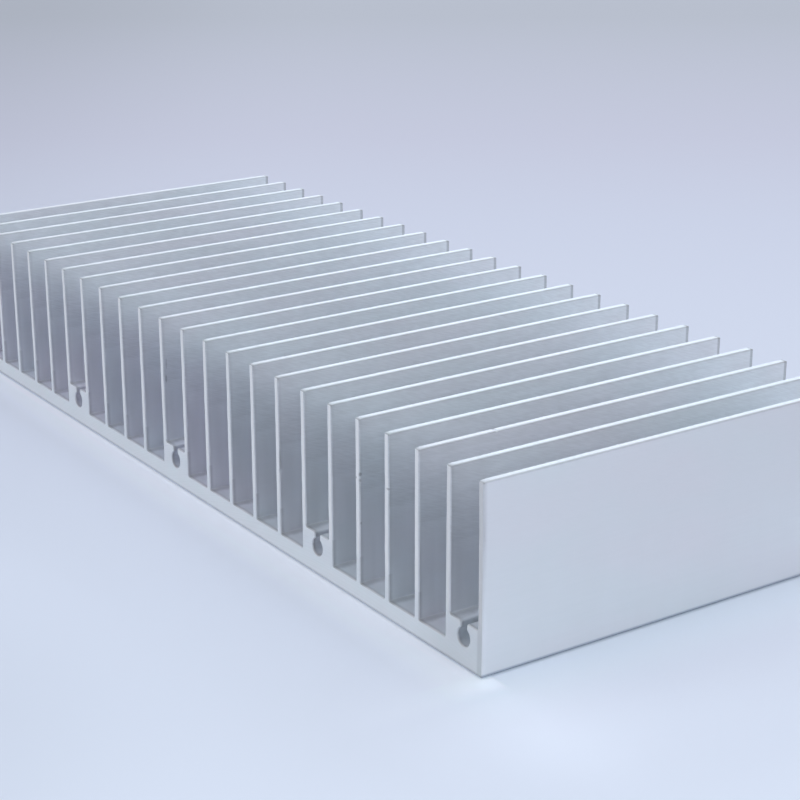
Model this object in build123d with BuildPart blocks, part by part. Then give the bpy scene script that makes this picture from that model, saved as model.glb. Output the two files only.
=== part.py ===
from build123d import *
import os

# Extruded aluminium heat sink, in millimetres.
# X runs across the fins, Y along the extrusion, Z up from the flat underside of the base.
# The origin is the centre of the underside.

# The comb of fins on its base plate
fin_count = 24
fin_pitch = 8.0
fin_root_thickness = 1.2
fin_tip_thickness = 1.15
fin_height = 27.3
base_thickness = 3.1
cut_length = 74.2

# Screw ports: slotted bores that take thread-forming screws at either cut end
port_count = 5
port_bore_diameter = 3.0
port_bore_rise = 0.25
port_slot_width = 1.4
port_lip_height = 0.9

# Corner radii of the extrusion die, and the deburred edge of the saw cuts
fin_tip_radius = 0.2
fin_root_radius = 0.25
port_root_radius = 0.3
port_lip_radius = 0.45
base_corner_radius = 0.4
deburr = 0.15

# Sizes that follow from them
gap_count = fin_count - 1
overall_width = gap_count * fin_pitch + fin_root_thickness
overall_height = base_thickness + fin_height
port_bore_radius = port_bore_diameter / 2
port_axis_height = base_thickness + port_bore_rise + port_bore_radius
port_block_top = port_axis_height + port_bore_radius + port_lip_height

# One port in the gap beside each outer fin, and the others spread evenly between them
port_gaps = [step * (gap_count - 1) // (port_count - 1) for step in range(port_count)]
plain_gaps = [index for index in range(gap_count) if index not in port_gaps]


def gap_places(indexes):
    """Centres of the given gaps between fins, counted from 0 at the +X side."""
    return [(((gap_count - 1) / 2 - index) * fin_pitch, 0) for index in indexes]


def half_gap(height):
    """Half the width of a gap at a height: the fins taper evenly from root to tip."""
    tip_share = (height - base_thickness) / fin_height
    thickness = fin_root_thickness + tip_share * (fin_tip_thickness - fin_root_thickness)
    return (fin_pitch - thickness) / 2


def gap_outline(floor_height, floor_radius):
    """Outline of a gap down to its floor. It widens above the fins, so it rounds their tips too."""
    side = [
        (half_gap(floor_height), floor_height),
        (half_gap(overall_height), overall_height),
        (fin_pitch / 2, overall_height),
        (fin_pitch / 2, overall_height + fin_pitch),
    ]
    radii = [floor_radius, fin_tip_radius, 0, 0]
    other_side = [(-across, height) for across, height in reversed(side)]
    FilletPolyline(side + other_side, radius=radii + radii[::-1], close=True)


# A plain gap: straight sides, a flat floor and a small radius at each fin root
with BuildSketch() as plain_gap:
    with BuildLine():
        gap_outline(base_thickness, fin_root_radius)
    make_face()

# A gap with a port: its floor is raised to a block, slotted down to a round bore
with BuildSketch() as port_gap:
    with BuildLine():
        gap_outline(port_block_top, port_root_radius)
    make_face()
    with Locations((0, port_axis_height)):
        Rectangle(port_slot_width, port_block_top - port_axis_height, align=(Align.CENTER, Align.MIN))
    block_corners = port_gap.vertices().filter_by_position(
        Axis.Y, port_block_top - port_lip_radius, port_block_top + port_lip_radius
    )
    fillet(block_corners.sort_by(lambda corner: abs(corner.X))[:2], port_lip_radius)
    with Locations((0, port_axis_height)):
        Circle(port_bore_radius)

# The extrusion: a rectangle with rounded corners less its gaps, sawn to length and deburred
with BuildPart() as heat_sink:
    with BuildSketch(Plane.XZ.offset(-cut_length / 2)) as section:
        Rectangle(overall_width, overall_height, align=(Align.CENTER, Align.MIN))
        fillet(section.vertices().group_by(Axis.Y)[-1], fin_tip_radius)
        fillet(section.vertices().group_by(Axis.Y)[0], base_corner_radius)
        with Locations(*gap_places(plain_gaps)):
            add(plain_gap.sketch, mode=Mode.SUBTRACT)
        with Locations(*gap_places(port_gaps)):
            add(port_gap.sketch, mode=Mode.SUBTRACT)
    extrude(amount=cut_length)
    sawn_faces = heat_sink.faces().sort_by(Axis.Y)
    chamfer(sawn_faces[0].edges() + sawn_faces[-1].edges(), deburr)

heat_sink.part.label = "heat_sink"

os.makedirs("parts", exist_ok=True)
export_step(heat_sink.part, "parts/heat_sink.step")
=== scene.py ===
import math

import bmesh
import bpy
from mathutils import Matrix, Vector, noise


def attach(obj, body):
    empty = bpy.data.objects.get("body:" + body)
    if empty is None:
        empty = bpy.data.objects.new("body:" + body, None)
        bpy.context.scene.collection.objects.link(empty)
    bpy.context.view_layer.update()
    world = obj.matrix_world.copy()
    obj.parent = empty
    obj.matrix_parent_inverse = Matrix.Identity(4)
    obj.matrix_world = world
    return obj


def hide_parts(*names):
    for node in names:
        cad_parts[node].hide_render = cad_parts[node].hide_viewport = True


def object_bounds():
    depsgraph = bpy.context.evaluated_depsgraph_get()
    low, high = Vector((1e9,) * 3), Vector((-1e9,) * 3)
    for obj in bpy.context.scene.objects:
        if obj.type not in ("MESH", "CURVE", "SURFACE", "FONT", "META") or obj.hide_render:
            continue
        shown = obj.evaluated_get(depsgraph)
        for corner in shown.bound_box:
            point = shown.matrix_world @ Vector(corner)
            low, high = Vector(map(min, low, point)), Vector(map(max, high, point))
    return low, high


# Looks of the extruded aluminium heat sink. Metres; X across the fins, Y along the extrusion, Z up.
# Sizes and places are written in millimetres, and turned into metres where they are used.

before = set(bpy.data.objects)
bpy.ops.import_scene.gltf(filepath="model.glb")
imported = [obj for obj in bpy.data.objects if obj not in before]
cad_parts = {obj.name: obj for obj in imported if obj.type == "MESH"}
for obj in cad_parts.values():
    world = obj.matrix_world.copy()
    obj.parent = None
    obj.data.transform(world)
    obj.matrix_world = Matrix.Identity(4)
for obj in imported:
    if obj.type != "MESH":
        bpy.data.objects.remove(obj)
cad_bounds = [list(corner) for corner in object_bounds()]
MM = 0.001

# Sizes of the extrusion, in millimetres: from the imported model, and as in the CAD
HALF_WIDTH, HALF_LENGTH, OVERALL_HEIGHT = (round(size / MM, 1) for size in cad_bounds[1])
FIN_COUNT = 24
MIDDLE_FIN = (FIN_COUNT + 1) / 2
FIN_PITCH = 8.0
BASE_THICKNESS = 3.1
DEBURR = 0.15

# The photograph's camera: its place, where it looks and how long its lens is
CAMERA_PLACE = Vector((299.56, -192.23, 132.01)) * MM
CAMERA_AZIMUTH = math.radians(55.757)
CAMERA_ELEVATION = math.radians(19.088)
CAMERA_ROLL = math.radians(-0.044)
CAMERA_LENS = 89.617

# Colours of the studio's light: daylight from its windows, and the warm fill from its walls
DAYLIGHT = (0.84, 1.0, 1.16)
WALL_FILL = (0.46, 0.4, 0.38)
ROOM_STRENGTH = 0.8
GLOSSY_BOUNCES = 12

# Soft windows of daylight: azimuth from +X, elevation, how narrow, and strength
WINDOWS = {
    "right_low": (0, 12, 30, 2.8),
    "right_high": (0, 42, 12, 2.1),
    "left_low": (180, 12, 30, 0.9),
    "left_high": (180, 42, 12, 1.9),
    "front_left_low": (225, 12, 30, 1.7),
    "front_right_low": (315, 12, 30, 0.5),
    "back_high": (110, 42, 12, 1.7),
    "back_left_low": (135, 12, 30, 1.4),
    "back_left_strip": (146, 19, 60, 3.9),
    "overhead": (0, 90, 8, 0.2),
}

# The floor: its size in metres, how rough it is, and its colour by distance behind the part in millimetres
FLOOR_SIZE = 6
FLOOR_ROUGHNESS = 0.9
# The colours grow darker towards the back: painted shade where the studio's light falls off
FLOOR_COLOURS = {
    -150: (0.82, 0.875, 0.97, 1),
    175: (0.672, 0.694, 0.797, 1),
    290: (0.62, 0.62, 0.715, 1),
    560: (0.515, 0.53, 0.58, 1),
}

# Places on the floor, in millimetres: one of painted shade, aside and behind as the camera sees it, and one
# of painted light
DIM_PLACE = (-75, -120)
BRIGHT_PLACE = Vector((102, -40, 0)) * MM

# Tints that multiply the floor's colour, painting the hue of light that the metal throws on it: before the
# cut end, and beside the outer face of fin 1
FLOOR_WARMER = (1.015, 1.01, 0.982, 1)
FLOOR_COOLER = (1.0, 1.03, 1.015, 1)

# Soft steps of the floor's painted light and shade: from and to in millimetres, and the value before and
# after
FLOOR_STEPS = {
    # aside and behind, as the camera sees it: painted shade on the left, and painted light in front
    "left_dimmer": (-180, -20, 0.84, 1.0),
    "front_glow": (-110, -86, 0.04, 0.0),
    "front_right": (-20, 30, 0.0, 1.0),
    # out from the place of painted shade and from the place of painted light
    "dim_place": (20, 65, 0.91, 1.0),
    "bright_place": (6, 26, 0.06, 0.0),
    # out from the cut end, or from the outer face of fin 1
    "outside": (-2, -1, 0.0, 1.0),
    "broad_glow": (3, 34, 0.11, 0.0),
    "narrow_glow": (1.5, 9, 0.20, 0.0),
    "edge_glow": (0.8, 2.6, 0.09, 0.0),
    "side_glow": (18, 42, 0.085, 0.0),
    "side_gap": (-1, 9, 0.1, 1.0),
    "warmer": (2, 12, 1.0, 0.0),
    "cooler": (2, 16, 1.0, 0.0),
    # across, before the cut end
    "broad_glow_weaker": (0.0, 60, 1.0, 0.6),
    "glow_weaker": (64, 94, 1.0, 0.6),
    "glow_right_limit": (94, 98, 1.0, 0.0),
    "glow_left_limit": (-99, -91, 0.0, 1.0),
    # out from the long sides, from the ends, and from all four edges
    "warmer_limit": (0.0, 4, 1.0, 0.0),
    "side_limit": (HALF_LENGTH, HALF_LENGTH + 15, 1.0, 0.0),
    # a thin painted shade where the floor meets the part
    "contact": (0.15, 0.6, 0.86, 1.0),
}

# Colours of the extruded skin: two near greys that it clouds between, and tints that multiply them: painted
# shade on the outer face, a painted tint of light on the left fins, and painted bluish shade along the
# bottom
GREENER_GREY = (0.858, 0.893, 0.915, 1)
WARMER_GREY = (0.878, 0.884, 0.915, 1)
OUTER_TINT = (0.965, 0.963, 0.963, 1)
LEFT_TINT = (1.0, 0.992, 1.008, 1)
LOW_TINT = (0.93, 1.0, 1.09, 1)

# Grains of the skin: size of their features along X, Y and Z in millimetres, and level of detail
CLOUDS = ((9, 30, 16), 2)
STREAKS = ((0.6, 9, 0.45), 2)
SCRATCHES = ((4, 2.4, 0.22), 2)
# The bands paint the soft upright streaks of reflection low on the inner walls
BANDS = ((8, 3, 28), 2)
DIE_LINES = ((0.12, 90, 0.12), 1)
ROOT_WANDER = ((5, 2.2, 60), 3, 0.65)

# The slope of the scratches, and how far the band of painted shade along a gap's root wanders, in
# millimetres
SCRATCH_SLOPE = math.radians(-19)
WANDER = 1.6

# What the grains do: range of the grain, and the value at its two ends
CLOUD_RANGE = (0.32, 0.68, 0.0, 1.0)
STREAK_RANGE = (0.3, 0.7, -0.02, 0.02)
SCRATCH_RANGE = (0.3, 0.7, -0.03, 0.03)
BAND_RANGE = (0.3, 0.7, -0.025, 0.025)
SKIN_ROUGHNESS = (0.2, 0.8, 0.55, 0.61)

# How level a face is, from wall to gap floor; and how much less the inner look shows on the outer faces
LEVEL_RANGE = (0.5, 0.8, 0.0, 1.0)
INNER_LOSS = -0.9

# Gloss and relief: share of brushed gloss, strength of each relief, and its depth in millimetres
ANISOTROPY = 0.55
SKIN_RELIEF = 0.05
SAWN_RELIEF = 0.2
RELIEF_DEPTH = 0.01

# Soft steps of the skin's look, most of them painted light and shade: from and to in millimetres, and the
# value before and after
SKIN_STEPS = {
    # out from the middle, to the right from the middle, and across a gap
    "outer_face": (92.0, 92.2, 0.0, 1.0),
    "left": (0.0, 40, 1.0, 0.0),
    "root_band": (-2.8, -1.4, -0.20, 0.06),
    # along the extrusion: painted tints of light, painted shade under the tips, and a darker band at the
    # far end
    "outer_warmer": (-20, 30, -0.1, 0.35),
    "inner_greener": (5, 36, 0.0, -0.45),
    "cap": (-6, 6, 0.95, 0.985),
    "far_rim": (HALF_LENGTH - 0.85, HALF_LENGTH - 0.6, 1.0, 0.72),
    # in from the near end: painted shade on the walls and on the tips
    "shaded": (5, 9, 0.95, 1.0),
    "notch": (0.1, 0.4, -0.1, 0.0),
    # up from the underside: masks, painted shade at the foot, by the near end and over the crests, and
    # painted light deep down
    "corner": (0.2, 0.75, 0.60, 1.0),
    "low_tint": (0.2, 0.75, 1.0, 0.0),
    "outer_darker": (4, 28, 0.0, -0.035),
    "near_shade_low": (5, 10, 0.92, 0.86),
    "inner_rim": (7.4, 7.8, 0.80, 0.93),
    "gap_floor": (7.6, 8.0, 1.0, 0.0),
    "outer_rim": (8, 24, 1.02, 0.86),
    "deep": (8, 16, 0.025, 0.0),
    "upper": (14, 21, 0.0, 1.0),
    "unshaded": (18, 24, 1.0, 0.0),
    "below_tips": (22, 27, 1.0, 0.0),
    "top": (29.9, 30.1, 0.0, 1.0),
    "crest": (30.0, 30.25, 1.0, 0.87),
}

# Steps of painted shade whose value changes over the skin, at the near rims, by the near end and under the
# tips: from and to in millimetres, and a fixed value
NEAR_RIM_REACH = (0.1 - HALF_LENGTH, 0.9 - HALF_LENGTH)
NEAR_SHADE_REACH = (0.0, 3.2)
CAP_RISE = (28.2, 29.8)
NEAR_SHADE_RISE = (18, 22)
NEAR_SHADE_HIGH = 0.90

# The cut ends: where the saw's hub stood, the grains of its arcs and of faint patches, and what they do
SAW_HUB = Vector((60, 0, -160)) * MM
ARCS = ((0.22, 1, 1), 3, 0.6)
PATCHES = ((3, 3, 3), 2)
ARC_RANGE = (0.25, 0.75, 0.97, 1.03)
SAWN_ROUGHNESS = (0.2, 0.8, 0.56, 0.64)

# Colours of the cut ends, each a pair that the patches blend; the base's pair darker and bluer as painted
# shade
SAWN_FINS = ((0.898, 0.914, 0.895, 1), (0.930, 0.912, 0.900, 1))
SAWN_BASE = ((0.822, 0.867, 0.867, 1), (0.850, 0.857, 0.865, 1))

# Soft steps of the cut ends' look: two up from the underside, and two across; all but the first are painted
# shade
END_STEPS = {
    "base_to_fins": (5, 10, 0.0, 1.0),
    "rim": (0.2, 0.6, 0.84, 1.0),
    "right_shade": (74, 86, 1.03, 0.94),
    "outermost": (91.1, 91.6, 1.0, 0.87),
}

# Where the mesh is cut finer, in millimetres: along, up, and in from the near and the far end
ALONG_CUTS = [-24, -12, 0, 12, 24]
HEIGHT_CUTS = [8, 14, 20, 25, 29]
NEAR_CUTS = [0.3, 0.6, 1.0, 1.6]
FAR_CUTS = [0.3, 0.6]
END_CUTS = [height for height in range(9, 29) if height not in HEIGHT_CUTS]
END_DEPTH = 0.7
NICK_CUTS = 3
TIP_NICK_CUTS = 4

# What counts as a fin's tip, its side, a cut end and a sharp edge, in millimetres
TIP_DEPTH = 0.3
SIDE_START = 9
SAWN_DEPTH = 0.05
SAWN_FACING = 0.95
SHARP_ANGLE = math.radians(30)

# Distances that count as none, in metres, and how much even shading goes by a face's size
WELD_DISTANCE = 1e-7
CUT_DISTANCE = 1e-8
SHADING_WEIGHT = 90

# How the fins bend above their roots, in millimetres: fin 1 leans in, and all of them wave along Y
BEND_START = 8
LEAN = 0.2
WAVE = 0.05
WAVE_LENGTH = 30

# The saw's waver at the cut ends: where it starts, sideways, and inwards as a share of the length
SAW_MARGIN = 0.05
SAW_START = BASE_THICKNESS + 1
SAW_WAVER = 0.05
SAW_WAVER_LENGTH = 3
SAW_INWARDS = 0.001
SAW_INWARDS_LENGTH = 4
SAW_INWARDS_OFFSET = 9

# Where the fins lie in the noise, so that each waves in its own way
WAVE_ROW = 7.3
WAVE_LAYER = 0.5
WAVER_ROW = 3.1
INWARDS_ROW = 5.7

# How far from its end each fin's tip starts to fall away, and how deep it falls, in millimetres
TIP_FALL = {1: 0.8, 2: 0.6, 3: 1.05, 4: 0.6}
OTHER_TIP_FALL = 0.7
FAR_TIP_FALL = 0.4
TIP_FALL_DEPTH = 0.16
TIP_FALL_CURVE = 1.5

# Nicks in the near edges of fins, and in a tip: fin, distance along, height, radius and depth
EDGE_NICKS = [
    (5, -37.1, 21.3, 0.5, 0.10),
    (5, -37.1, 20.3, 0.4, 0.08),
    (4, -37.1, 21.5, 0.4, 0.08),
    (8, -37.1, 14.3, 0.5, 0.10),
]
TIP_NICK = (3, -22.9, 0.3, 0.12)

# Darker marks on the fins, those at the nicks painted shade: centre and half sizes in millimetres, and how
# much darker; and their soft rim
MARKS = [
    ((-3.4, -36.45, 21.9), (0.6, 0.20, 1.3), 0.84),
    ((-3.4, -36.60, 19.1), (0.6, 0.25, 0.9), 0.74),
    ((60.7, -36.95, 21.3), (0.50, 0.40, 0.45), 0.62),
    ((60.7, -36.95, 20.3), (0.40, 0.30, 0.40), 0.70),
    ((59.5, -37.10, 20.6), (0.40, 0.30, 0.30), 0.70),
    ((60.6, -36.85, 13.2), (0.60, 0.20, 0.3), 0.80),
    ((68.4, -37.05, 21.5), (0.55, 0.35, 0.25), 0.72),
    ((36.6, -36.95, 16.0), (0.60, 0.20, 3.0), 0.78),
]
MARK_RIM = (0.5, 1.0)


def add(tree, kind, values=None, **settings):
    """A node with its settings, and with numbers or other nodes' sockets put into its inputs."""
    made = tree.nodes.new(kind)
    for name, value in settings.items():
        setattr(made, name, value)
    for name, value in (values or {}).items():
        if isinstance(value, bpy.types.NodeSocket):
            tree.links.new(value, made.inputs[name])
        else:
            made.inputs[name].default_value = value
    return made


def calculate(tree, operation, *values):
    """The result of a math node."""
    return add(tree, "ShaderNodeMath", dict(enumerate(values)), operation=operation).outputs[0]


def product(tree, first, *others):
    """Some numbers multiplied together."""
    for other in others:
        first = calculate(tree, "MULTIPLY", first, other)
    return first


def total(tree, first, *others):
    """Some numbers added together."""
    for other in others:
        first = calculate(tree, "ADD", first, other)
    return first


def shade_on(tree, change, mask):
    """A shade that departs from 1 by some change, and only where a mask is 1."""
    return calculate(tree, "MULTIPLY_ADD", change, mask, 1.0)


def vector(tree, operation, *values):
    """The node of a vector operation."""
    return add(tree, "ShaderNodeVectorMath", dict(enumerate(values)), operation=operation)


def split(tree, place):
    """The outputs X, Y and Z of a vector."""
    return add(tree, "ShaderNodeSeparateXYZ", {0: place}).outputs


def spread(tree, value, low, high, to_low, to_high):
    """A value's range turned smoothly into another range."""
    values = {"Value": value, "From Min": low, "From Max": high, "To Min": to_low, "To Max": to_high}
    return add(tree, "ShaderNodeMapRange", values, interpolation_type="SMOOTHSTEP").outputs["Result"]


def step(tree, length, row):
    """A number that turns smoothly from one value to another between two places in millimetres."""
    start, end, before, after = row
    return spread(tree, length, start * MM, end * MM, before, after)


def straight(result):
    """The same range or step, but running straight instead of smoothly."""
    result.node.interpolation_type = "LINEAR"
    return result


def grain(tree, place, size, detail, roughness=0.5):
    """Noise from 0 to 1 whose features have the given size along X, Y and Z, in millimetres."""
    scaled = vector(tree, "DIVIDE", place, [length * MM for length in size]).outputs["Vector"]
    values = {"Vector": scaled, "Scale": 1.0, "Detail": detail, "Roughness": roughness}
    return add(tree, "ShaderNodeTexNoise", values).outputs["Fac"]


def tint(tree, blend_type, share, first, second):
    """Two colours blended."""
    made = add(tree, "ShaderNodeMix", data_type="RGBA", blend_type=blend_type)
    for index, value in ((0, share), (6, first), (7, second)):
        if isinstance(value, bpy.types.NodeSocket):
            tree.links.new(value, made.inputs[index])
        else:
            made.inputs[index].default_value = value
    return made.outputs[2]


def new_material(name):
    """A material with nodes: (the material, its tree, its principled shader, object coordinates)."""
    material = bpy.data.materials.new(name)
    material.use_nodes = True
    tree = material.node_tree
    place = tree.nodes.new("ShaderNodeTexCoord").outputs["Object"]
    return material, tree, tree.nodes["Principled BSDF"], place


def grey_times(tree, colour, *shades):
    """A colour made darker or lighter by each of some numbers."""
    for shade in shades:
        grey = add(tree, "ShaderNodeCombineColor", {0: shade, 1: shade, 2: shade}).outputs[0]
        colour = tint(tree, "MULTIPLY", 1.0, colour, grey)
    return colour


def marked(tree, colour, place):
    """A colour darkened by the marks on the fins, those at the nicks painted shade."""
    for centre, size, shade in MARKS:
        away = vector(tree, "SUBTRACT", place, [length * MM for length in centre]).outputs["Vector"]
        away = vector(tree, "DIVIDE", away, [length * MM for length in size]).outputs["Vector"]
        away = vector(tree, "LENGTH", away).outputs["Value"]
        colour = grey_times(tree, colour, spread(tree, away, *MARK_RIM, shade, 1.0))
    return colour


def relief(tree, shader, height, strength):
    """Puts a fine relief into a shader's normal."""
    values = {"Height": height, "Strength": strength, "Distance": RELIEF_DEPTH * MM}
    tree.links.new(add(tree, "ShaderNodeBump", values).outputs["Normal"], shader.inputs["Normal"])


def skin_colour(tree, place, axes, outer, inner):
    """Two near greys in soft clouds, with painted tints of light, greener inside and warmer outside towards
    the far end and tinted on the left fins, and painted shade on the outer face and, bluer, along the
    bottom.
    """
    clouds = spread(tree, grain(tree, place, *CLOUDS), *CLOUD_RANGE)
    warmer = product(tree, outer, step(tree, axes["Y"], SKIN_STEPS["outer_warmer"]))
    greener = product(tree, step(tree, axes["Y"], SKIN_STEPS["inner_greener"]), inner)
    colour = tint(tree, "MIX", total(tree, clouds, warmer, greener), GREENER_GREY, WARMER_GREY)
    colour = tint(tree, "MULTIPLY", outer, colour, OUTER_TINT)
    below_tips = step(tree, axes["Z"], SKIN_STEPS["below_tips"])
    left = product(tree, step(tree, axes["X"], SKIN_STEPS["left"]), below_tips)
    colour = tint(tree, "MULTIPLY", left, colour, LEFT_TINT)
    return tint(tree, "MULTIPLY", step(tree, axes["Z"], SKIN_STEPS["low_tint"]), colour, LOW_TINT)


def grain_shades(tree, place, axes, streaks, inner):
    """Streaks and slanting scratches on the upper half of the inner walls, and on the lower half bands that
    paint streaks of reflection.
    """
    along = (0, math.cos(SCRATCH_SLOPE), math.sin(SCRATCH_SLOPE))
    over = (0, -math.sin(SCRATCH_SLOPE), math.cos(SCRATCH_SLOPE))
    turned = {0: axes["X"]}
    for index, direction in ((1, along), (2, over)):
        turned[index] = vector(tree, "DOT_PRODUCT", place, direction).outputs["Value"]
    slanted = add(tree, "ShaderNodeCombineXYZ", turned).outputs[0]
    upper = product(tree, step(tree, axes["Z"], SKIN_STEPS["upper"]), inner)
    lower = calculate(tree, "SUBTRACT", inner, upper)
    return (
        shade_on(tree, spread(tree, streaks, *STREAK_RANGE), upper),
        shade_on(tree, spread(tree, grain(tree, slanted, *SCRATCHES), *SCRATCH_RANGE), upper),
        shade_on(tree, spread(tree, grain(tree, place, *BANDS), *BAND_RANGE), lower),
    )


def edge_shades(tree, axes, inset, outer):
    """A darker band along the far end, and painted shade at the near rims, at the foot of the outer face,
    on the tips by the near end and over their crests.
    """
    inner_rim = step(tree, axes["Z"], SKIN_STEPS["inner_rim"])
    outer_rim = step(tree, axes["Z"], SKIN_STEPS["outer_rim"])
    rim = add(tree, "ShaderNodeMix", {0: outer, 2: inner_rim, 3: outer_rim}).outputs[0]
    within = calculate(tree, "SUBTRACT", 1.0, outer)
    top = step(tree, axes["Z"], SKIN_STEPS["top"])
    return (
        step(tree, axes["Y"], SKIN_STEPS["far_rim"]),
        step(tree, axes["Y"], (*NEAR_RIM_REACH, rim, 1.0)),
        calculate(tree, "MAXIMUM", step(tree, axes["Z"], SKIN_STEPS["corner"]), within),
        shade_on(tree, step(tree, inset, SKIN_STEPS["notch"]), top),
        step(tree, axes["Z"], SKIN_STEPS["crest"]),
    )


def wall_shades(tree, axes, inset, outer, inner):
    """Painted shade on the walls by the near end and under the tips, painted light deep down, and painted
    shade up the outer faces.
    """
    near_shade_low = step(tree, axes["Z"], SKIN_STEPS["near_shade_low"])
    near_shade_amount = step(tree, axes["Z"], (*NEAR_SHADE_RISE, near_shade_low, NEAR_SHADE_HIGH))
    near_end_shade = straight(step(tree, inset, (*NEAR_SHADE_REACH, near_shade_amount, 1.0)))
    unshaded = step(tree, axes["Z"], SKIN_STEPS["unshaded"])
    shaded = calculate(tree, "MAXIMUM", step(tree, inset, SKIN_STEPS["shaded"]), unshaded)
    capped = step(tree, axes["Z"], (*CAP_RISE, 1.0, step(tree, axes["Y"], SKIN_STEPS["cap"])))
    return (
        calculate(tree, "MAXIMUM", product(tree, near_end_shade, shaded), outer),
        calculate(tree, "MAXIMUM", capped, outer),
        shade_on(tree, step(tree, axes["Z"], SKIN_STEPS["deep"]), inner),
        shade_on(tree, step(tree, axes["Z"], SKIN_STEPS["outer_darker"]), outer),
    )


def gap_floor_shade(tree, place, axes, facing):
    """The floor of each gap, with painted shade in a band that wanders along its back root, and painted
    light over the rest of it.
    """
    wander = grain(tree, place, *ROOT_WANDER)
    wander = calculate(tree, "MULTIPLY_ADD", wander, WANDER * MM, -WANDER / 2 * MM)
    gap = calculate(tree, "WRAP", axes["X"], FIN_PITCH / 2 * MM, -FIN_PITCH / 2 * MM)
    band = step(tree, total(tree, gap, wander), SKIN_STEPS["root_band"])
    level = spread(tree, split(tree, facing)["Z"], *LEVEL_RANGE)
    return total(tree, product(tree, band, level, step(tree, axes["Z"], SKIN_STEPS["gap_floor"])), 1.0)


def extruded_skin():
    """Mill-finish aluminium as it leaves the die: fine lines along Y and faint clouds, with painted light
    and shade over its walls, near edges, tips and gap floors, and a darker band at the far end.
    """
    material, tree, shader, place = new_material("extruded_skin")
    axes = split(tree, place)
    facing = tree.nodes.new("ShaderNodeNewGeometry").outputs["Normal"]
    streaks = grain(tree, place, *STREAKS)
    inset = total(tree, axes["Y"], HALF_LENGTH * MM)
    outer = step(tree, calculate(tree, "ABSOLUTE", axes["X"]), SKIN_STEPS["outer_face"])
    inner = shade_on(tree, outer, INNER_LOSS)
    shades = (
        *grain_shades(tree, place, axes, streaks, inner),
        *edge_shades(tree, axes, inset, outer),
        *wall_shades(tree, axes, inset, outer, inner),
        gap_floor_shade(tree, place, axes, facing),
    )
    colour = grey_times(tree, skin_colour(tree, place, axes, outer, inner), *shades)
    across = vector(tree, "CROSS_PRODUCT", (0, 1, 0), facing).outputs["Vector"]
    tree.links.new(marked(tree, colour, place), shader.inputs["Base Color"])
    tree.links.new(spread(tree, streaks, *SKIN_ROUGHNESS), shader.inputs["Roughness"])
    tree.links.new(across, shader.inputs["Tangent"])
    shader.inputs["Metallic"].default_value = 1.0
    shader.inputs["Anisotropic"].default_value = ANISOTROPY
    relief(tree, shader, grain(tree, place, *DIE_LINES), SKIN_RELIEF)
    return material


def sawn_end():
    """The cut ends: flat bright metal with the faint arcs of a saw blade, and painted shade at the bottom
    rim, towards the right, on fin 1's end and over the base's end.
    """
    material, tree, shader, place = new_material("sawn_end")
    axes = split(tree, place)
    from_hub = vector(tree, "SUBTRACT", place, SAW_HUB).outputs["Vector"]
    flat = vector(tree, "MULTIPLY", from_hub, (1, 0, 1)).outputs["Vector"]
    distance = vector(tree, "LENGTH", flat).outputs["Value"]
    rings = add(tree, "ShaderNodeCombineXYZ", {0: distance}).outputs[0]
    arcs = grain(tree, rings, *ARCS)
    patches = grain(tree, place, *PATCHES)
    fins = tint(tree, "MIX", patches, *SAWN_FINS)
    base = tint(tree, "MIX", patches, *SAWN_BASE)
    colour = tint(tree, "MIX", step(tree, axes["Z"], END_STEPS["base_to_fins"]), base, fins)
    shades = (
        spread(tree, arcs, *ARC_RANGE),
        step(tree, axes["Z"], END_STEPS["rim"]),
        step(tree, axes["X"], END_STEPS["right_shade"]),
        step(tree, axes["X"], END_STEPS["outermost"]),
    )
    colour = grey_times(tree, colour, *shades)
    tree.links.new(marked(tree, colour, place), shader.inputs["Base Color"])
    tree.links.new(spread(tree, arcs, *SAWN_ROUGHNESS), shader.inputs["Roughness"])
    shader.inputs["Metallic"].default_value = 1.0
    relief(tree, shader, arcs, SAWN_RELIEF)
    return material


def colour_by_depth(tree, depth):
    """The floor's colour, with painted shade that grows darker towards the back of the studio."""
    nearest, farthest = min(FLOOR_COLOURS), max(FLOOR_COLOURS)
    share = straight(step(tree, depth, (nearest, farthest, 0.0, 1.0)))
    ramp = add(tree, "ShaderNodeValToRGB", {"Fac": share})
    stops = ramp.color_ramp.elements
    while len(stops) < len(FLOOR_COLOURS):
        stops.new(0.5)
    for stop, place in zip(stops, FLOOR_COLOURS):
        stop.position = (place - nearest) / (farthest - nearest)
    for stop, colour in zip(stops, FLOOR_COLOURS.values()):
        stop.color = colour
    return ramp.outputs["Color"]


def end_glow(tree, axes, before):
    """Painted light, as the cut end throws it on the floor before it, in a broad, a narrow and a very
    narrow band.
    """
    weaker = step(tree, axes["X"], FLOOR_STEPS["broad_glow_weaker"])
    broad = product(tree, step(tree, before, FLOOR_STEPS["broad_glow"]), weaker)
    narrow = step(tree, before, FLOOR_STEPS["narrow_glow"])
    edge = step(tree, before, FLOOR_STEPS["edge_glow"])
    limits = [step(tree, before, FLOOR_STEPS["outside"])]
    for name in ("glow_weaker", "glow_right_limit", "glow_left_limit"):
        limits.append(step(tree, axes["X"], FLOOR_STEPS[name]))
    return product(tree, total(tree, narrow, broad, edge), *limits)


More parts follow.
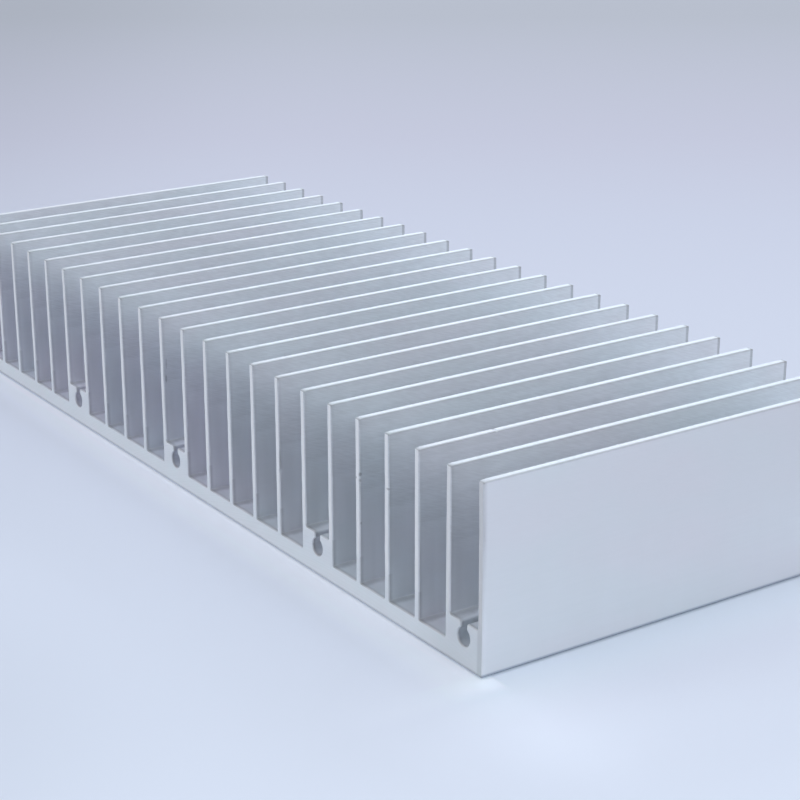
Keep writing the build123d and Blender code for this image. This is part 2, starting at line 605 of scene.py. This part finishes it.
def floor_material():
    """Pale floor with painted light that the metal throws on it, painted places of light and shade, and a
    thin painted shade where they touch.
    """
    material, tree, shader, place = new_material("pale_floor")
    axes = split(tree, place)
    away = Vector((-math.sin(CAMERA_AZIMUTH), math.cos(CAMERA_AZIMUTH), 0))
    depth = vector(tree, "DOT_PRODUCT", place, away).outputs["Value"]
    side = Vector((math.cos(CAMERA_AZIMUTH), math.sin(CAMERA_AZIMUTH), 0))
    aside = vector(tree, "DOT_PRODUCT", place, side).outputs["Value"]
    squares = []
    for distance, middle in zip((aside, depth), DIM_PLACE):
        squares.append(calculate(tree, "POWER", calculate(tree, "SUBTRACT", distance, middle * MM), 2.0))
    from_dim = calculate(tree, "SQRT", total(tree, *squares))
    from_bright = vector(tree, "DISTANCE", place, BRIGHT_PLACE).outputs["Value"]

    outward = calculate(tree, "ABSOLUTE", axes["X"])
    along = calculate(tree, "ABSOLUTE", axes["Y"])
    before = calculate(tree, "SUBTRACT", -HALF_LENGTH * MM, axes["Y"])
    beyond = calculate(tree, "SUBTRACT", axes["X"], HALF_WIDTH * MM)
    past_width = calculate(tree, "SUBTRACT", outward, HALF_WIDTH * MM)
    past_length = calculate(tree, "SUBTRACT", along, HALF_LENGTH * MM)
    past_edges = calculate(tree, "MAXIMUM", past_width, past_length)
    before_end = step(tree, before, FLOOR_STEPS["outside"])
    beside_fin = step(tree, beyond, FLOOR_STEPS["outside"])
    side_limit = step(tree, along, FLOOR_STEPS["side_limit"])

    side_glow = product(tree, step(tree, beyond, FLOOR_STEPS["side_glow"]), beside_fin, side_limit)
    side_glow = product(tree, side_glow, step(tree, beyond, FLOOR_STEPS["side_gap"]))
    front_right = step(tree, aside, FLOOR_STEPS["front_right"])
    front_glow = product(tree, step(tree, depth, FLOOR_STEPS["front_glow"]), front_right)
    bright_place = step(tree, from_bright, FLOOR_STEPS["bright_place"])
    shades = (
        step(tree, aside, FLOOR_STEPS["left_dimmer"]),
        step(tree, from_dim, FLOOR_STEPS["dim_place"]),
        total(tree, end_glow(tree, axes, before), side_glow, bright_place, front_glow, 1.0),
        step(tree, past_edges, FLOOR_STEPS["contact"]),
    )
    colour = grey_times(tree, colour_by_depth(tree, depth), *shades)

    warmer_limit = step(tree, past_width, FLOOR_STEPS["warmer_limit"])
    warmer = product(tree, step(tree, before, FLOOR_STEPS["warmer"]), before_end, warmer_limit)
    colour = tint(tree, "MULTIPLY", warmer, colour, FLOOR_WARMER)
    cooler = product(tree, step(tree, beyond, FLOOR_STEPS["cooler"]), beside_fin, side_limit)
    colour = tint(tree, "MULTIPLY", cooler, colour, FLOOR_COOLER)
    tree.links.new(colour, shader.inputs["Base Color"])
    shader.inputs["Roughness"].default_value = FLOOR_ROUGHNESS
    return material


def slice_across(shape, faces, axis, places):
    """Cuts faces of a mesh, with their edges and corners, along planes at right angles to an axis."""
    across = Vector((0, 0, 0))
    across[axis] = 1
    edges = {edge for face in faces for edge in face.edges}
    verts = {vert for edge in edges for vert in edge.verts}
    pieces = list(verts) + list(edges) + list(faces)
    for place in places:
        cut = bmesh.ops.bisect_plane(
            shape, geom=pieces, dist=CUT_DISTANCE, plane_co=across * place * MM, plane_no=across
        )
        pieces = cut["geom"]


def places_about(middle, radius, count):
    """Evenly spaced places from one side of a nick to the other, with a number of gaps on each side."""
    return [middle + radius * index / count for index in range(-count, count + 1)]


def fin_at(across):
    """The number of the fin nearest to a place across the fins, from 1 at the +X side."""
    return min(FIN_COUNT, max(1, round(MIDDLE_FIN - across / FIN_PITCH)))


def is_tip(face, fin):
    """Whether a face is on the tip of a fin."""
    middle = face.calc_center_median() / MM
    return middle.z > OVERALL_HEIGHT - TIP_DEPTH and fin_at(middle.x) == fin


def is_side(face, fin):
    """Whether a face is on a fin at its near end."""
    middle = face.calc_center_median() / MM
    return middle.y < 0 and middle.z > SIDE_START and fin_at(middle.x) == fin


def bent(fin, across, along, height):
    """A fin's place across, after fin 1 has leaned in and all of them wave a little."""
    share = max(0.0, (height - BEND_START) / (OVERALL_HEIGHT - BEND_START))
    if fin == 1:
        across -= LEAN * share * share
    wave = noise.noise(Vector((fin * WAVE_ROW, along / WAVE_LENGTH, WAVE_LAYER)))
    return across + WAVE * share * share * wave


def wavered(fin, across, along, height):
    """The saw's waver at a cut end: (place across, place along)."""
    across += SAW_WAVER * noise.noise(Vector((fin * WAVER_ROW, along, height / SAW_WAVER_LENGTH)))
    layer = height / SAW_INWARDS_LENGTH + SAW_INWARDS_OFFSET
    along *= 1 - SAW_INWARDS * abs(noise.noise(Vector((fin * INWARDS_ROW, along, layer))))
    return across, along


def worked(point):
    """A point of the extrusion, in millimetres, moved to where handling and the saw have left it."""
    across, along, height = point
    fin = fin_at(across)
    across = bent(fin, across, along, height)
    if abs(along) > HALF_LENGTH - DEBURR - SAW_MARGIN and height > SAW_START:
        across, along = wavered(fin, across, along, height)
    reach = TIP_FALL.get(fin, OTHER_TIP_FALL) if along < 0 else FAR_TIP_FALL
    inset = HALF_LENGTH - abs(along)
    if height > OVERALL_HEIGHT - TIP_DEPTH and inset < reach:
        fall = TIP_FALL_DEPTH * (1 - inset / reach) ** TIP_FALL_CURVE
        height -= fall * (height - OVERALL_HEIGHT + TIP_DEPTH) / TIP_DEPTH
    for nicked, end, level, radius, depth in EDGE_NICKS:
        away = math.hypot(along - end, height - level) / radius
        if fin == nicked and away < 1 and across > (MIDDLE_FIN - fin) * FIN_PITCH:
            across -= depth * (1 - away * away)
    fin_nicked, middle, radius, depth = TIP_NICK
    if fin == fin_nicked and abs(along - middle) < radius and height > OVERALL_HEIGHT - TIP_DEPTH:
        height -= depth * (1 - ((along - middle) / radius) ** 2)
    return Vector((max(-HALF_WIDTH, min(HALF_WIDTH, across)), along, height))


def cut_finer(shape):
    """Cuts the mesh where its edges wave, its tips fall away and its nicks lie."""
    near = [-HALF_LENGTH + inset for inset in NEAR_CUTS]
    far = [HALF_LENGTH - inset for inset in FAR_CUTS]
    slice_across(shape, shape.faces[:], 1, near + ALONG_CUTS + far)
    slice_across(shape, shape.faces[:], 2, HEIGHT_CUTS)
    end_start = (HALF_LENGTH - END_DEPTH) * MM
    ends = [face for face in shape.faces if abs(face.calc_center_median().y) > end_start]
    slice_across(shape, ends, 2, END_CUTS)
    fin_nicked, middle, radius, depth = TIP_NICK
    tips = [face for face in shape.faces if is_tip(face, fin_nicked)]
    slice_across(shape, tips, 1, places_about(middle, radius, TIP_NICK_CUTS))
    for fin, end, level, radius, depth in EDGE_NICKS:
        sides = [face for face in ends if face.is_valid and is_side(face, fin)]
        slice_across(shape, sides, 2, places_about(level, radius, NICK_CUTS))


def extrusion(node):
    """The CAD node's mesh, cut finer, with the small marks of sawing and handling worked into it."""
    shape = bmesh.new()
    shape.from_mesh(node.data)
    bmesh.ops.remove_doubles(shape, verts=shape.verts, dist=WELD_DISTANCE)
    cut_finer(shape)
    sawn_start = (HALF_LENGTH - SAWN_DEPTH) * MM
    for face in shape.faces:
        face.smooth = True
        at_end = abs(face.calc_center_median().y) > sawn_start
        face.material_index = int(at_end and abs(face.normal.y) > SAWN_FACING)
    for edge in shape.edges:
        edge.smooth = len(edge.link_faces) == 2 and edge.calc_face_angle() < SHARP_ANGLE
    for vert in shape.verts:
        vert.co = worked(vert.co / MM) * MM
    bmesh.ops.triangulate(shape, faces=shape.faces)
    mesh = bpy.data.meshes.new("extrusion")
    shape.to_mesh(mesh)
    shape.free()
    if "custom_normal" in mesh.attributes:
        mesh.attributes.remove(mesh.attributes["custom_normal"])
    mesh.materials.append(extruded_skin())
    mesh.materials.append(sawn_end())
    piece = bpy.data.objects.new("extrusion", mesh)
    bpy.context.scene.collection.objects.link(piece)
    even = piece.modifiers.new("even_shading", "WEIGHTED_NORMAL")
    even.keep_sharp = True
    even.weight = SHADING_WEIGHT
    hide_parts("heat_sink")
    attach(piece, "root")


def floor():
    """The plain surface that the part stands on."""
    bpy.ops.mesh.primitive_plane_add(size=FLOOR_SIZE, location=(0, 0, 0))
    plane = bpy.context.object
    plane.name = "floor"
    plane.data.materials.append(floor_material())


def sky():
    """Soft light from broad windows in the room round the part."""
    world = bpy.data.worlds.new("studio")
    world.use_nodes = True
    tree = world.node_tree
    direction = tree.nodes.new("ShaderNodeTexCoord").outputs["Generated"]
    light = WALL_FILL
    for azimuth, elevation, narrow, strength in WINDOWS.values():
        turn, rise = math.radians(azimuth), math.radians(elevation)
        centre = (math.cos(turn) * math.cos(rise), math.sin(turn) * math.cos(rise), math.sin(rise))
        facing = vector(tree, "DOT_PRODUCT", direction, centre).outputs["Value"]
        patch = calculate(tree, "POWER", calculate(tree, "MAXIMUM", facing, 0.0), narrow)
        glow = vector(tree, "SCALE", [channel * strength for channel in DAYLIGHT])
        tree.links.new(patch, glow.inputs["Scale"])
        light = vector(tree, "ADD", light, glow.outputs[0]).outputs[0]
    background = tree.nodes["Background"]
    background.inputs["Strength"].default_value = ROOM_STRENGTH
    tree.links.new(light, background.inputs["Color"])
    bpy.context.scene.world = world


def camera():
    """The camera that took the photograph."""
    azimuth, elevation = CAMERA_AZIMUTH, CAMERA_ELEVATION
    back = Vector((
        math.sin(azimuth) * math.cos(elevation),
        -math.cos(azimuth) * math.cos(elevation),
        math.sin(elevation),
    ))
    level_right = Vector((math.cos(azimuth), math.sin(azimuth), 0))
    level_up = back.cross(level_right)
    right = level_right * math.cos(CAMERA_ROLL) + level_up * math.sin(CAMERA_ROLL)
    up = level_up * math.cos(CAMERA_ROLL) - level_right * math.sin(CAMERA_ROLL)
    data = bpy.data.cameras.new("camera")
    data.lens = CAMERA_LENS
    data.clip_start = MM
    eye = bpy.data.objects.new("camera", data)
    eye.matrix_world = Matrix.Translation(CAMERA_PLACE) @ Matrix((right, up, back)).transposed().to_4x4()
    bpy.context.scene.collection.objects.link(eye)
    bpy.context.scene.camera = eye


bpy.context.scene.view_settings.view_transform = "Standard"
bpy.context.scene.cycles.glossy_bounces = GLOSSY_BOUNCES
extrusion(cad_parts["heat_sink"])
floor()
sky()
camera()
